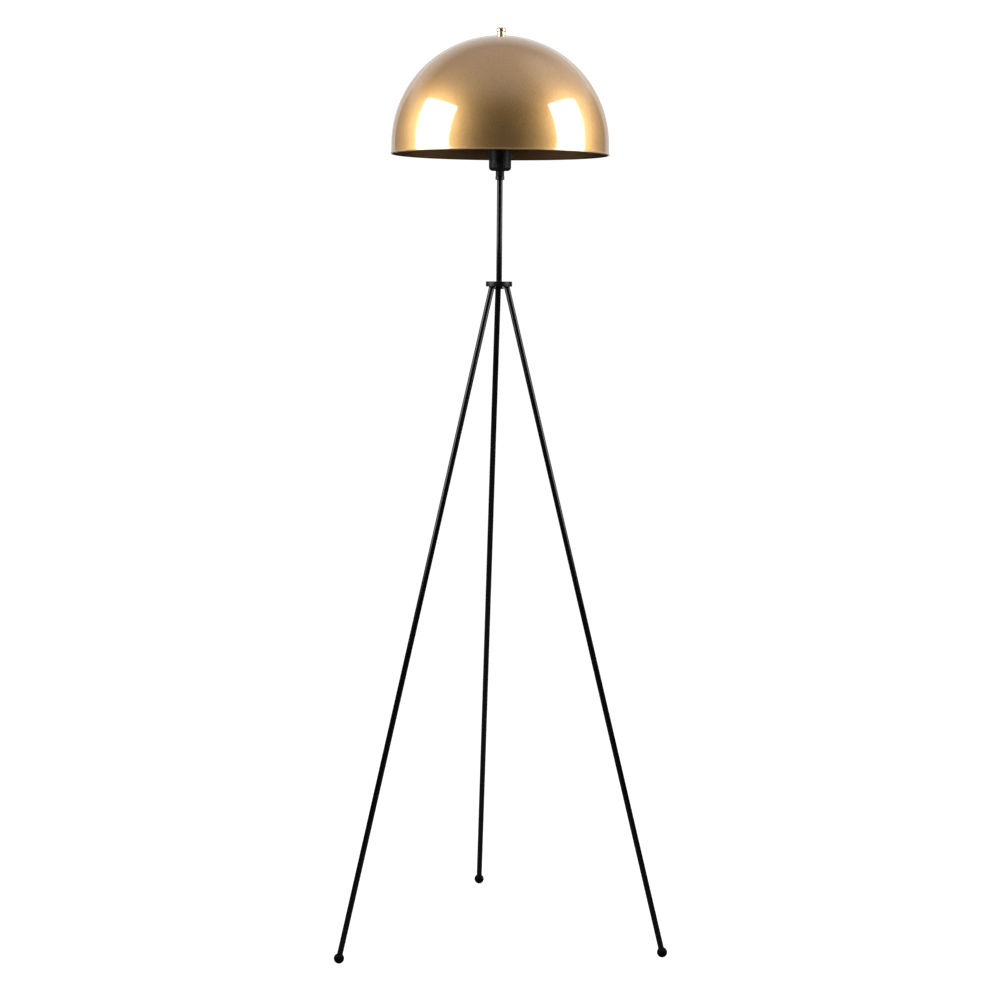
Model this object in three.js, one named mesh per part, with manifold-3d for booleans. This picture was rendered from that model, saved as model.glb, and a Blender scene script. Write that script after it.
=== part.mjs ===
// A tripod floor lamp: three slim steel legs on ball feet, a short stem, an E27 lampholder that faces
// up, and a glossy dome shade hung over the bulb on a wire harp and clamped by a brass finial.
// Units are millimetres, +Z is up. The floor is z = 0 and every height below is a height over it.
import * as THREE from "three";
import { mergeVertices } from "three/addons/utils/BufferGeometryUtils.js";
import Module from "manifold-3d";

const wasm = await Module();
wasm.setup();

// ---- driving dimensions ----------------------------------------------------------------------
const GAP = 0.3; // left between pieces that touch on the real lamp

const FOOT_CIRCLE_RADIUS = 323.5; // the ball feet's centres, from the stem's axis
const FOOT_RADIUS = 9;
const FOOT_FLAT_RADIUS = 2.4; // the small flat that a foot rests on
const FOOT_HEIGHT = Math.sqrt(FOOT_RADIUS ** 2 - FOOT_FLAT_RADIUS ** 2); // a ball's centre
const LEG_AZIMUTHS = { front_left: 210, front_right: 330, rear: 90 }; // degrees from +X

const LEG_RADIUS = 5;
const LEG_BORE_RADIUS = 4;
const LEG_TOP_RADIUS = 15; // where a leg's axis meets the hub's underside, from the stem's axis
const LEG_SEAT_DEPTH = 1.6; // how far a leg's end goes into its slanted pocket in the hub
const LEG_INSERT_LENGTH = 18;
const LEG_STUD_RADIUS = 2.9; // M6, its thread left plain
const LEG_STUD_LENGTH = 5.4;
const CLEAR = 12; // how far a cutter reaches out of the piece that it cuts

const HUB_RADIUS = 23;
const HUB_BOTTOM = 1157;
const HUB_THICKNESS = 9;
const HUB_CHAMFER = 0.7;
const HUB_WASHER_RADIUS = 9.4;
const HUB_WASHER_THICKNESS = 0.6;
const HUB_NUT_ACROSS_FLATS = 17;
const HUB_NUT_THICKNESS = 3;

const STEM_RADIUS = 5; // M10 x 1 lamp tube, its threaded ends left plain
const STEM_BORE_RADIUS = 4;
const STEM_BOTTOM = 1154;
const STEM_TOP = 1354.5;
const BUSH_HOLE_RADIUS = 3.3; // passes a 6 mm mains flex
const BUSH_FLANGE_RADIUS = 4.8;
const BUSH_FLANGE_THICKNESS = 1.1;
const BUSH_BODY_LENGTH = 9;

const COLLAR_BOTTOM = 1341.5;
const COLLAR_HEIGHT = 6.6;
const COLLAR_RADIUS = 7.8;
const COLLAR_ROUND = 2.2; // its lower edge
const GRUB_RADIUS = 1.5;

const HOLDER_NECK_RADIUS = 7.4;
const HOLDER_NECK_HEIGHT = 8.6;
const HOLDER_BOTTOM = 1357; // the underside of the holder's cap
const HOLDER_RADIUS = 19.4;
const HOLDER_ROUND = 6; // the cap's rounded bottom corner
const HOLDER_WALL = 2;
const HOLDER_SEAM = 1375; // where the cap screws into the barrel
const HOLDER_TOP = 1412;
const HOLDER_FLANGE_RADIUS = 21;
const HOLDER_FLANGE_BOTTOM = 1391.2;
const HOLDER_FLANGE_TOP = 1396.4;
const HOLDER_BORE_RADIUS = 16.3;
const HOLDER_LIP_RADIUS = 14.6;
const HOLDER_LIP_BOTTOM = 1408;
const HOLDER_CHAMFER = 1; // on the barrel, the shade ring and the harp's boss
const CORE_RADIUS = 16;
const CORE_BOTTOM = HOLDER_SEAM + 1;
const CORE_BASE_TOP = 1386;
const SHELL_RADIUS = 14.3; // the brass E27 screw shell
const SHELL_BORE_RADIUS = 13.6;
const TERMINAL_OFFSET = 9;
const TERMINAL_HEAD_RADIUS = 2.8;
const TERMINAL_HEAD_HEIGHT = 2;
const TERMINAL_SHANK_RADIUS = 1.4;
const TERMINAL_SHANK_LENGTH = 5;
const CONTACT_LEAF = { length: 14, width: 5, thickness: 0.6 };
const CONTACT_DOME_RADIUS = 2.4;
const CONTACT_HEIGHT = 1.2;

const RING_RADIUS = 24.2; // the shade ring that clamps the harp to the holder
const RING_HEIGHT = 5.5;
const HARP_RING_RADIUS = 29.5;
const HARP_RING_THICKNESS = 1.8;
const HARP_WIRE_RADIUS = 2;
const HARP_FOOT_RADIUS = 27.2; // the wire's centre where it stands on the harp's ring
const HARP_WIDEST = 62;
const HARP_WIDEST_HEIGHT = 1500;
const HARP_BOSS_RADIUS = 8;
const HARP_BOSS_BOTTOM = 1572;
const HARP_ARM_TOP = 1577;
const HARP_STUD_RADIUS = 2.85; // M6, its thread left plain
const HARP_STUD_TOP = 1598.5;

const RIM_HEIGHT = 1384.2; // the shade's lower edge
const RIM_RADIUS = 190;
const SKIRT_HEIGHT = 17.5; // the slightly flared band under the dome
const DOME_RADIUS = 188.6;
const DOME_RISE = 186.3; // from the skirt to the crown
const SHADE_WALL = 0.9;
const HEM_HEIGHT = 2.4;
const HEM_WALL = 1.7;
const SHADE_HOLE_RADIUS = 3.7;
const CROWN_HEIGHT = RIM_HEIGHT + SKIRT_HEIGHT + DOME_RISE;

const FINIAL_HOLE_RADIUS = 3.15;
const FINIAL_RING_RADIUS = 7.1;
const FINIAL_GROOVE_RADIUS = 6;
const FINIAL_WIDEST = 7.95;
const FINIAL_TOP = 1601.4;
const FINIAL_KNOB_HEIGHT = 7.4;
const FINIAL_BEVEL = 0.7;
const WASHER_RADIUS = 6.9;
const WASHER_THICKNESS = 0.5;

const BULB_RADIUS = 30; // an A60 lamp
const BULB_CENTRE = 1463;
const BULB_COLLAR_TOP = 1446;
const BULB_CAP_TOP = 1412.6;
const BULB_CAP_BOTTOM = 1392.4;
const BULB_CAP_RADIUS = 13.1; // over the crests of its thread
const BULB_CAP_ROOT_RADIUS = 12.4;
const BULB_THREAD_PITCH = 3.63;
const BULB_WALL = 1.1;
const BULB_COLLAR_FOOT_RADIUS = 13.4;
const BULB_COLLAR_WAIST_RADIUS = 16.5;
const BULB_INSULATOR_RADIUS = 11.5;
const BULB_INSULATOR_HEIGHT = 3;
const BULB_CONTACT_RADIUS = 4.5;
const BULB_CONTACT_HEIGHT = 1;

// The footprint isn't centred on the stem: it runs from the shade's front edge to the rear foot.
const STEM_OFFSET = -(FOOT_CIRCLE_RADIUS + FOOT_RADIUS - RIM_RADIUS) / 2;

const LEG_RUN = FOOT_CIRCLE_RADIUS - LEG_TOP_RADIUS;
const LEG_RISE = HUB_BOTTOM - FOOT_HEIGHT;
const LEG_SPLAY = Math.atan2(LEG_RUN, LEG_RISE);
const LEG_SPAN = Math.hypot(LEG_RUN, LEG_RISE); // from a foot's centre to the hub's underside
const LEG_LENGTH = LEG_SPAN + LEG_SEAT_DEPTH / Math.cos(LEG_SPLAY);

// ---- materials -------------------------------------------------------------------------------
const finish = (color, roughness, metalness) =>
  new THREE.MeshStandardMaterial({ color, roughness, metalness });
const materials = {
  black: finish(0x161616, 0.45, 0.6), // satin black powder coat
  gold: finish(0xa8834a, 0.3, 0.9), // gold lacquer
  brass: finish(0xd9b25a, 0.2, 1),
  plastic: finish(0x121212, 0.4, 0),
  steel: finish(0x9a9a9a, 0.35, 1),
  ceramic: finish(0xe8e4da, 0.5, 0),
  nylon: finish(0xe9e6dc, 0.5, 0),
  opal: finish(0xf6f3ea, 0.35, 0),
};

// ---- solids ----------------------------------------------------------------------------------
// A closed three.js geometry as a manifold solid.
function solidOf(geometry) {
  const plain = geometry.index ? geometry.toNonIndexed() : geometry.clone();
  plain.deleteAttribute("normal");
  plain.deleteAttribute("uv");
  const merged = mergeVertices(plain, 1e-4);
  const corners = merged.index.array;
  const triVerts = [];
  for (let i = 0; i < corners.length; i += 3) {
    const [a, b, c] = corners.slice(i, i + 3);
    if (a !== b && b !== c && c !== a) triVerts.push(a, b, c);
  }
  return new wasm.Manifold(
    new wasm.Mesh({
      numProp: 3,
      vertProperties: merged.attributes.position.array,
      triVerts: new Uint32Array(triVerts),
    }),
  );
}

function geometryOf(solid) {
  const mesh = solid.getMesh();
  const geometry = new THREE.BufferGeometry();
  geometry.setAttribute("position", new THREE.BufferAttribute(mesh.vertProperties, 3));
  geometry.setIndex(new THREE.BufferAttribute(mesh.triVerts, 1));
  geometry.computeVertexNormals();
  return geometry;
}

// A solid of revolution about Z. The outline's points are [radius, height], counter-clockwise.
function turned(outline, segments = 24) {
  const points = [...outline, outline[0]].map(([r, z]) => new THREE.Vector2(r, z));
  const lathe = new THREE.LatheGeometry(points, segments).rotateX(Math.PI / 2);
  return solidOf(lathe);
}

// A cylinder about Z from one height to another.
function rod(radius, bottom, top, segments = 20) {
  return turned([[0, bottom], [radius, bottom], [radius, top], [0, top]], segments);
}

// A tube or washer about Z.
function tube(radius, bore, bottom, top, segments = 24) {
  return turned([[bore, bottom], [radius, bottom], [radius, top], [bore, top]], segments);
}

// Points of an elliptical arc, from one angle to another in degrees.
function arc(centreR, centreZ, radiusR, radiusZ, from, to, steps) {
  return Array.from({ length: steps + 1 }, (_, i) => {
    const angle = THREE.MathUtils.degToRad(from + ((to - from) * i) / steps);
    return [centreR + radiusR * Math.cos(angle), centreZ + radiusZ * Math.sin(angle)];
  });
}

function moved(geometry, x, y, z, rotateX = 0, rotateY = 0, rotateZ = 0) {
  const place = new THREE.Matrix4().makeRotationFromEuler(new THREE.Euler(rotateX, rotateY, rotateZ));
  return geometry.applyMatrix4(place.setPosition(x, y, z));
}

function addMesh(group, name, solid, material) {
  const mesh = new THREE.Mesh(geometryOf(solid), material);
  mesh.name = name;
  group.add(mesh);
  return mesh;
}

// ---- tripod ----------------------------------------------------------------------------------
// A cylinder along a leg's axis, in its azimuth's frame, from and to being distances up from the foot.
function alongLeg(radius, from, to, segments = 20) {
  const length = to - from;
  const cylinder = new THREE.CylinderGeometry(radius, radius, length, segments).rotateX(Math.PI / 2);
  cylinder.translate(0, 0, from + length / 2);
  return moved(cylinder, FOOT_CIRCLE_RADIUS, 0, FOOT_HEIGHT, 0, -LEG_SPLAY);
}

function hubPlate() {
  const top = HUB_BOTTOM + HUB_THICKNESS;
  const bore = STEM_RADIUS + GAP;
  let plate = turned(
    [
      [bore, HUB_BOTTOM],
      [HUB_RADIUS - HUB_CHAMFER, HUB_BOTTOM],
      [HUB_RADIUS, HUB_BOTTOM + HUB_CHAMFER],
      [HUB_RADIUS, top - HUB_CHAMFER],
      [HUB_RADIUS - HUB_CHAMFER, top],
      [bore, top],
    ],
    40,
  );
  for (const azimuth of Object.values(LEG_AZIMUTHS)) {
    const turn = THREE.MathUtils.degToRad(azimuth);
    const pocket = alongLeg(LEG_RADIUS + GAP, LEG_SPAN - CLEAR, LEG_LENGTH + GAP).rotateZ(turn);
    const tapped = alongLeg(LEG_STUD_RADIUS + GAP, LEG_SPAN, LEG_LENGTH + LEG_STUD_LENGTH + GAP, 12);
    plate = plate.subtract(solidOf(pocket)).subtract(solidOf(tapped.rotateZ(turn)));
  }
  return plate;
}

function hubNut() {
  const top = HUB_BOTTOM - HUB_WASHER_THICKNESS - 2 * GAP;
  const cornerRadius = HUB_NUT_ACROSS_FLATS / 2 / Math.cos(Math.PI / 6);
  const hexagon = new THREE.CylinderGeometry(cornerRadius, cornerRadius, HUB_NUT_THICKNESS, 6);
  moved(hexagon.rotateX(Math.PI / 2), 0, 0, top - HUB_NUT_THICKNESS / 2);
  const hole = rod(STEM_RADIUS + GAP, top - CLEAR, top + CLEAR);
  return solidOf(hexagon).subtract(hole);
}

function hubWasher() {
  const top = HUB_BOTTOM - GAP;
  return tube(HUB_WASHER_RADIUS, STEM_RADIUS + GAP, top - HUB_WASHER_THICKNESS, top);
}

function legInsert() {
  const plug = LEG_BORE_RADIUS - GAP / 2;
  const outline = [
    [0, LEG_LENGTH - LEG_INSERT_LENGTH],
    [plug, LEG_LENGTH - LEG_INSERT_LENGTH],
    [plug, LEG_LENGTH],
    [LEG_STUD_RADIUS, LEG_LENGTH],
    [LEG_STUD_RADIUS, LEG_LENGTH + LEG_STUD_LENGTH],
    [0, LEG_LENGTH + LEG_STUD_LENGTH],
  ];
  return turned(outline, 16);
}

function footBall() {
  const flatAngle = -THREE.MathUtils.radToDeg(Math.acos(FOOT_FLAT_RADIUS / FOOT_RADIUS));
  const outline = [
    [0, -FOOT_HEIGHT],
    ...arc(0, 0, FOOT_RADIUS, FOOT_RADIUS, flatAngle, 0, 5),
    ...arc(0, 0, FOOT_RADIUS, FOOT_RADIUS, 0, 90, 5).slice(1),
  ];
  const ball = turned(outline, 20).translate([FOOT_CIRCLE_RADIUS, 0, FOOT_HEIGHT]);
  return ball.subtract(solidOf(alongLeg(LEG_RADIUS + GAP, -GAP, FOOT_RADIUS + CLEAR)));
}

function addLeg(lamp, place, azimuth) {
  const turnedTo = new THREE.Group();
  turnedTo.rotation.z = THREE.MathUtils.degToRad(azimuth);
  lamp.add(turnedTo);
  addMesh(turnedTo, `foot_${place}`, footBall(), materials.plastic);

  const leaning = new THREE.Group();
  leaning.position.set(FOOT_CIRCLE_RADIUS, 0, FOOT_HEIGHT);
  leaning.rotation.y = -LEG_SPLAY;
  turnedTo.add(leaning);
  addMesh(leaning, `leg_${place}`, tube(LEG_RADIUS, LEG_BORE_RADIUS, 0, LEG_LENGTH, 20), materials.black);
  addMesh(leaning, `leg_insert_${place}`, legInsert(), materials.steel);
}

function addTripod(lamp) {
  addMesh(lamp, "hub_plate", hubPlate(), materials.black);
  addMesh(lamp, "hub_washer", hubWasher(), materials.black);
  addMesh(lamp, "hub_nut", hubNut(), materials.black);
  for (const [place, azimuth] of Object.entries(LEG_AZIMUTHS)) addLeg(lamp, place, azimuth);
}

// ---- stem ------------------------------------------------------------------------------------
function cordBush() {
  const bodyRadius = STEM_BORE_RADIUS - GAP;
  const flangeTop = STEM_BOTTOM - GAP;
  return turned([
    [BUSH_HOLE_RADIUS, flangeTop - BUSH_FLANGE_THICKNESS],
    [BUSH_FLANGE_RADIUS, flangeTop - BUSH_FLANGE_THICKNESS],
    [BUSH_FLANGE_RADIUS, flangeTop],
    [bodyRadius, flangeTop],
    [bodyRadius, flangeTop + BUSH_BODY_LENGTH],
    [BUSH_HOLE_RADIUS, flangeTop + BUSH_BODY_LENGTH],
  ]);
}

// A cylinder that points forwards through the middle of the collar: the grub screw or its hole.
function throughCollar(radius, innerEnd, outerEnd) {
  const length = outerEnd - innerEnd;
  const cylinder = new THREE.CylinderGeometry(radius, radius, length, 12);
  return solidOf(moved(cylinder, 0, -innerEnd - length / 2, COLLAR_BOTTOM + COLLAR_HEIGHT / 2));
}

function stemCollar() {
  const top = COLLAR_BOTTOM + COLLAR_HEIGHT;
  const roundR = COLLAR_RADIUS - COLLAR_ROUND;
  const roundZ = COLLAR_BOTTOM + COLLAR_ROUND;
  const collar = turned([
    [STEM_RADIUS + GAP, COLLAR_BOTTOM],
    ...arc(roundR, roundZ, COLLAR_ROUND, COLLAR_ROUND, -90, 0, 3),
    [COLLAR_RADIUS, top],
    [STEM_RADIUS + GAP, top],
  ]);
  return collar.subtract(throughCollar(GRUB_RADIUS + GAP, STEM_RADIUS, COLLAR_RADIUS + CLEAR));
}

function addStem(lamp) {
  const stem = tube(STEM_RADIUS, STEM_BORE_RADIUS, STEM_BOTTOM, STEM_TOP, 24);
  addMesh(lamp, "stem_tube", stem, materials.black);
  addMesh(lamp, "cord_bush", cordBush(), materials.plastic);
  addMesh(lamp, "stem_collar", stemCollar(), materials.black);
  const grubScrew = throughCollar(GRUB_RADIUS, STEM_RADIUS + GAP, COLLAR_RADIUS - GAP);
  addMesh(lamp, "collar_grub_screw", grubScrew, materials.black);
}

// ---- lampholder ------------------------------------------------------------------------------
function holderCap() {
  const neckBottom = HOLDER_BOTTOM - HOLDER_NECK_HEIGHT;
  const roundR = HOLDER_RADIUS - HOLDER_ROUND;
  const roundZ = HOLDER_BOTTOM + HOLDER_ROUND;
  const floor = HOLDER_BOTTOM + HOLDER_WALL;
  const wall = HOLDER_RADIUS - HOLDER_WALL;
  const innerRound = HOLDER_ROUND - HOLDER_WALL;
  const seat = STEM_RADIUS + GAP;
  return turned([
    [seat, neckBottom],
    [HOLDER_NECK_RADIUS, neckBottom],
    [HOLDER_NECK_RADIUS, HOLDER_BOTTOM],
    ...arc(roundR, roundZ, HOLDER_ROUND, HOLDER_ROUND, -90, 0, 4),
    [HOLDER_RADIUS, HOLDER_SEAM - GAP],
    [wall, HOLDER_SEAM - GAP],
    ...arc(wall - innerRound, floor + innerRound, innerRound, innerRound, 0, -90, 2),
    [STEM_BORE_RADIUS, floor],
    [STEM_BORE_RADIUS, STEM_TOP + GAP],
    [seat, STEM_TOP + GAP],
  ]);
}

function holderBarrel() {
  return turned([
    [HOLDER_BORE_RADIUS, HOLDER_SEAM],
    [HOLDER_RADIUS, HOLDER_SEAM],
    [HOLDER_RADIUS, HOLDER_FLANGE_BOTTOM],
    [HOLDER_FLANGE_RADIUS, HOLDER_FLANGE_BOTTOM],
    [HOLDER_FLANGE_RADIUS, HOLDER_FLANGE_TOP],
    [HOLDER_RADIUS, HOLDER_FLANGE_TOP],
    [HOLDER_RADIUS, HOLDER_TOP - HOLDER_CHAMFER],
    [HOLDER_RADIUS - HOLDER_CHAMFER, HOLDER_TOP],
    [HOLDER_LIP_RADIUS, HOLDER_TOP],
    [HOLDER_LIP_RADIUS, HOLDER_LIP_BOTTOM],
    [HOLDER_BORE_RADIUS, HOLDER_LIP_BOTTOM],
  ]);
}

function holderCore() {
  const wallTop = HOLDER_LIP_BOTTOM - GAP;
  const core = turned([
    [0, CORE_BOTTOM],
    [CORE_RADIUS, CORE_BOTTOM],
    [CORE_RADIUS, wallTop],
    [SHELL_RADIUS + GAP, wallTop],
    [SHELL_RADIUS + GAP, CORE_BASE_TOP],
    [0, CORE_BASE_TOP],
  ]);
  const holeTop = CORE_BOTTOM + TERMINAL_SHANK_LENGTH + GAP;
  const hole = rod(TERMINAL_SHANK_RADIUS + GAP, CORE_BOTTOM - CLEAR, holeTop, 12);
  return core
    .subtract(hole.translate([TERMINAL_OFFSET, 0, 0]))
    .subtract(hole.translate([-TERMINAL_OFFSET, 0, 0]));
}

function screwShell() {
  return tube(SHELL_RADIUS, SHELL_BORE_RADIUS, CORE_BASE_TOP + GAP, HOLDER_LIP_BOTTOM - 2 * GAP);
}

function centreContact() {
  const { length, width, thickness } = CONTACT_LEAF;
  const bottom = CORE_BASE_TOP + GAP;
  const leaf = new THREE.BoxGeometry(length, width, thickness).translate(0, 0, bottom + thickness / 2);
  const dome = rod(CONTACT_DOME_RADIUS, bottom + thickness / 2, bottom + CONTACT_HEIGHT, 12);
  return solidOf(leaf).add(dome);
}

function terminalScrew(side) {
  const headTop = CORE_BOTTOM - GAP;
  const headBottom = headTop - TERMINAL_HEAD_HEIGHT;
  const shankTop = headTop + TERMINAL_SHANK_LENGTH;
  const screw = turned(
    [
      [0, headBottom],
      [TERMINAL_HEAD_RADIUS, headBottom],
      [TERMINAL_HEAD_RADIUS, headTop],
      [TERMINAL_SHANK_RADIUS, headTop],
      [TERMINAL_SHANK_RADIUS, shankTop],
      [0, shankTop],
    ],
    16,
  );
  return screw.translate([side * TERMINAL_OFFSET, 0, 0]);
}

function addLampholder(lamp) {
  addMesh(lamp, "holder_cap", holderCap(), materials.plastic);
  addMesh(lamp, "holder_barrel", holderBarrel(), materials.plastic);
  addMesh(lamp, "holder_core", holderCore(), materials.ceramic);
  addMesh(lamp, "holder_screw_shell", screwShell(), materials.brass);
  addMesh(lamp, "holder_centre_contact", centreContact(), materials.brass);
  addMesh(lamp, "terminal_screw_live", terminalScrew(-1), materials.brass);
  addMesh(lamp, "terminal_screw_neutral", terminalScrew(1), materials.brass);
}

// ---- harp ------------------------------------------------------------------------------------
const HARP_RING_BOTTOM = HOLDER_FLANGE_TOP + GAP;
const HARP_RING_TOP = HARP_RING_BOTTOM + HARP_RING_THICKNESS;

function shadeRing() {
  const bottom = HARP_RING_TOP + GAP;
  const top = bottom + RING_HEIGHT;
  const bore = HOLDER_RADIUS + GAP;
  return turned([
    [bore, bottom],
    [RING_RADIUS, bottom],
    [RING_RADIUS, top - HOLDER_CHAMFER],
    [RING_RADIUS - HOLDER_CHAMFER, top],
    [bore, top],
  ]);
}

// One arm of the wire, in the plane y = 0: up from the ring, out around the bulb and in to the boss.
function harpArm(side) {
  const bulge = HARP_WIDEST - HARP_FOOT_RADIUS;
  const points = [
    [HARP_FOOT_RADIUS, HARP_RING_TOP + GAP],
    [HARP_FOOT_RADIUS, HARP_RING_TOP + 9],
    [HARP_FOOT_RADIUS + bulge * 0.45, HARP_RING_TOP + 34],
    [HARP_WIDEST - 4, HARP_WIDEST_HEIGHT - 42],
    [HARP_WIDEST, HARP_WIDEST_HEIGHT],
    [HARP_WIDEST - 9, HARP_WIDEST_HEIGHT + 38],
    [HARP_FOOT_RADIUS + 8, HARP_ARM_TOP - 10],
    [HARP_BOSS_RADIUS + 9, HARP_ARM_TOP],
    [HARP_BOSS_RADIUS + GAP, HARP_ARM_TOP],
  ].map(([r, z]) => new THREE.Vector3(side * r, 0, z));
  const section = new THREE.Shape();
  section.absarc(0, 0, HARP_WIRE_RADIUS, 0, 2 * Math.PI);
  const wire = new THREE.ExtrudeGeometry(section, {
    steps: 28,
    curveSegments: 4,
    bevelEnabled: false,
    extrudePath: new THREE.CatmullRomCurve3(points, false, "centripetal"),
  });
  return solidOf(wire);
}

function harpStud() {
  const shoulder = CROWN_HEIGHT - SHADE_WALL - 2 * GAP;
  return turned([
    [0, HARP_BOSS_BOTTOM],
    [HARP_BOSS_RADIUS - HOLDER_CHAMFER, HARP_BOSS_BOTTOM],
    [HARP_BOSS_RADIUS, HARP_BOSS_BOTTOM + HOLDER_CHAMFER],
    [HARP_BOSS_RADIUS, shoulder],
    [HARP_STUD_RADIUS, shoulder],
    [HARP_STUD_RADIUS, HARP_STUD_TOP],
    [0, HARP_STUD_TOP],
  ]);
}

function addHarp(lamp) {
  const ring = tube(HARP_RING_RADIUS, HOLDER_RADIUS + GAP, HARP_RING_BOTTOM, HARP_RING_TOP);
  addMesh(lamp, "harp_ring", ring, materials.black);
  addMesh(lamp, "harp_arm_left", harpArm(-1), materials.black);
  addMesh(lamp, "harp_arm_right", harpArm(1), materials.black);
  addMesh(lamp, "harp_stud", harpStud(), materials.black);
  addMesh(lamp, "shade_ring", shadeRing(), materials.plastic);
}

// ---- shade and finial ------------------------------------------------------------------------
function shade() {
  const skirtTop = RIM_HEIGHT + SKIRT_HEIGHT;
  const holeAngle = (wall) =>
    THREE.MathUtils.radToDeg(Math.acos(SHADE_HOLE_RADIUS / (DOME_RADIUS - wall)));
  const dome = (wall, from, to) =>
    arc(0, skirtTop, DOME_RADIUS - wall, DOME_RISE - wall, from, to, 10);
  return turned(
    [
      [RIM_RADIUS - HEM_WALL, RIM_HEIGHT],
      [RIM_RADIUS, RIM_HEIGHT],
      ...dome(0, 0, holeAngle(0)),
      ...dome(SHADE_WALL, holeAngle(SHADE_WALL), 0),
      [RIM_RADIUS - HEM_WALL, RIM_HEIGHT + HEM_HEIGHT],
    ],
    44,
  );
}

function finialWasher() {
  const bottom = CROWN_HEIGHT + GAP / 2;
  return tube(WASHER_RADIUS, FINIAL_HOLE_RADIUS, bottom, bottom + WASHER_THICKNESS);
}

function finial() {
  const bottom = CROWN_HEIGHT + GAP + WASHER_THICKNESS;
  const knobBottom = FINIAL_TOP - FINIAL_KNOB_HEIGHT;
  return turned(
    [
      [FINIAL_HOLE_RADIUS, bottom],
      [FINIAL_RING_RADIUS, bottom],
      [FINIAL_RING_RADIUS, bottom + 0.9],
      [FINIAL_GROOVE_RADIUS, bottom + 1.3],
      [FINIAL_RING_RADIUS, bottom + 1.8],
      [FINIAL_RING_RADIUS, knobBottom - 1],
      [FINIAL_GROOVE_RADIUS, knobBottom - 0.5],
      [FINIAL_RING_RADIUS, knobBottom],
      [FINIAL_WIDEST, knobBottom + 2],
      [FINIAL_WIDEST, knobBottom + 3.4],
      [FINIAL_RING_RADIUS, FINIAL_TOP - FINIAL_BEVEL],
      [FINIAL_RING_RADIUS - FINIAL_BEVEL, FINIAL_TOP],
      [0, FINIAL_TOP],
      [0, HARP_STUD_TOP + 2 * GAP],
      [FINIAL_HOLE_RADIUS, HARP_STUD_TOP + 2 * GAP],
    ],
    24,
  );
}

function addShade(lamp) {
  addMesh(lamp, "shade", shade(), materials.gold);
  addMesh(lamp, "finial_washer", finialWasher(), materials.nylon);
  addMesh(lamp, "finial", finial(), materials.brass);
}

// ---- bulb ------------------------------------------------------------------------------------
// The screw cap: a sleeve whose rounded ridges stand for its thread.
function bulbCap() {
  const height = BULB_CAP_TOP - BULB_CAP_BOTTOM;
  const stepsPerTurn = 2;
  const steps = Math.floor(height / BULB_THREAD_PITCH) * stepsPerTurn;
  const middle = (BULB_CAP_RADIUS + BULB_CAP_ROOT_RADIUS) / 2;
  const swing = (BULB_CAP_RADIUS - BULB_CAP_ROOT_RADIUS) / 2;
  const ridges = Array.from({ length: steps + 1 }, (_, i) => [
    middle - swing * Math.cos((2 * Math.PI * i) / stepsPerTurn),
    BULB_CAP_BOTTOM + 1.5 + (i * BULB_THREAD_PITCH) / stepsPerTurn,
  ]);
  const bore = BULB_CAP_ROOT_RADIUS - 0.8;
  return turned([
    [bore, BULB_CAP_BOTTOM],
    [BULB_CAP_ROOT_RADIUS - 0.3, BULB_CAP_BOTTOM],
    ...ridges,
    [BULB_CAP_ROOT_RADIUS, BULB_CAP_TOP],
    [bore, BULB_CAP_TOP],
  ]);
}

function bulbInsulator() {
  const top = BULB_CAP_BOTTOM - GAP;
  const bottom = top - BULB_INSULATOR_HEIGHT;
  return turned([
    [0, bottom],
    [BULB_CONTACT_RADIUS, bottom],
    [BULB_INSULATOR_RADIUS, top - BULB_WALL],
    [BULB_INSULATOR_RADIUS, top],
    [0, top],
  ]);
}

function bulbContact() {
  const top = BULB_CAP_BOTTOM - BULB_INSULATOR_HEIGHT - 2 * GAP;
  const bottom = top - BULB_CONTACT_HEIGHT;
  return turned([
    [0, bottom],
    [BULB_CONTACT_RADIUS - BULB_CONTACT_HEIGHT, bottom],
    [BULB_CONTACT_RADIUS, top - GAP],
    [BULB_CONTACT_RADIUS, top],
    [0, top],
  ]);
}

function bulbCollar() {
  const bottom = BULB_CAP_TOP + GAP;
  const top = BULB_COLLAR_TOP - GAP;
  const topRadius = Math.sqrt(BULB_RADIUS ** 2 - (BULB_CENTRE - BULB_COLLAR_TOP) ** 2);
  const waistHeight = bottom + (top - bottom) * 0.45;
  return turned([
    [BULB_COLLAR_FOOT_RADIUS - BULB_WALL, bottom],
    [BULB_COLLAR_FOOT_RADIUS, bottom],
    [BULB_COLLAR_WAIST_RADIUS, waistHeight],
    [topRadius, top],
    [topRadius - BULB_WALL, top],
    [BULB_COLLAR_WAIST_RADIUS - BULB_WALL, waistHeight],
  ]);
}

function bulbGlobe() {
  const inner = BULB_RADIUS - BULB_WALL;
  const edge = (radius) =>
    -THREE.MathUtils.radToDeg(Math.asin((BULB_CENTRE - BULB_COLLAR_TOP) / radius));
  return turned([
    ...arc(0, BULB_CENTRE, BULB_RADIUS, BULB_RADIUS, edge(BULB_RADIUS), 90, 8),
    ...arc(0, BULB_CENTRE, inner, inner, 90, edge(inner), 8),
  ]);
}

function addBulb(lamp) {
  addMesh(lamp, "bulb_contact", bulbContact(), materials.steel);
  addMesh(lamp, "bulb_insulator", bulbInsulator(), materials.plastic);
  addMesh(lamp, "bulb_cap", bulbCap(), materials.steel);
  addMesh(lamp, "bulb_collar", bulbCollar(), materials.opal);
  addMesh(lamp, "bulb_globe", bulbGlobe(), materials.opal);
}

// ---- the lamp --------------------------------------------------------------------------------
const lamp = new THREE.Group();
const onStem = new THREE.Group(); // everything is modelled about the stem's axis
onStem.position.y = STEM_OFFSET;
lamp.add(onStem);
addTripod(onStem);
addStem(onStem);
addLampholder(onStem);
addHarp(onStem);
addShade(onStem);
addBulb(onStem);

export default lamp;
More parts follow.
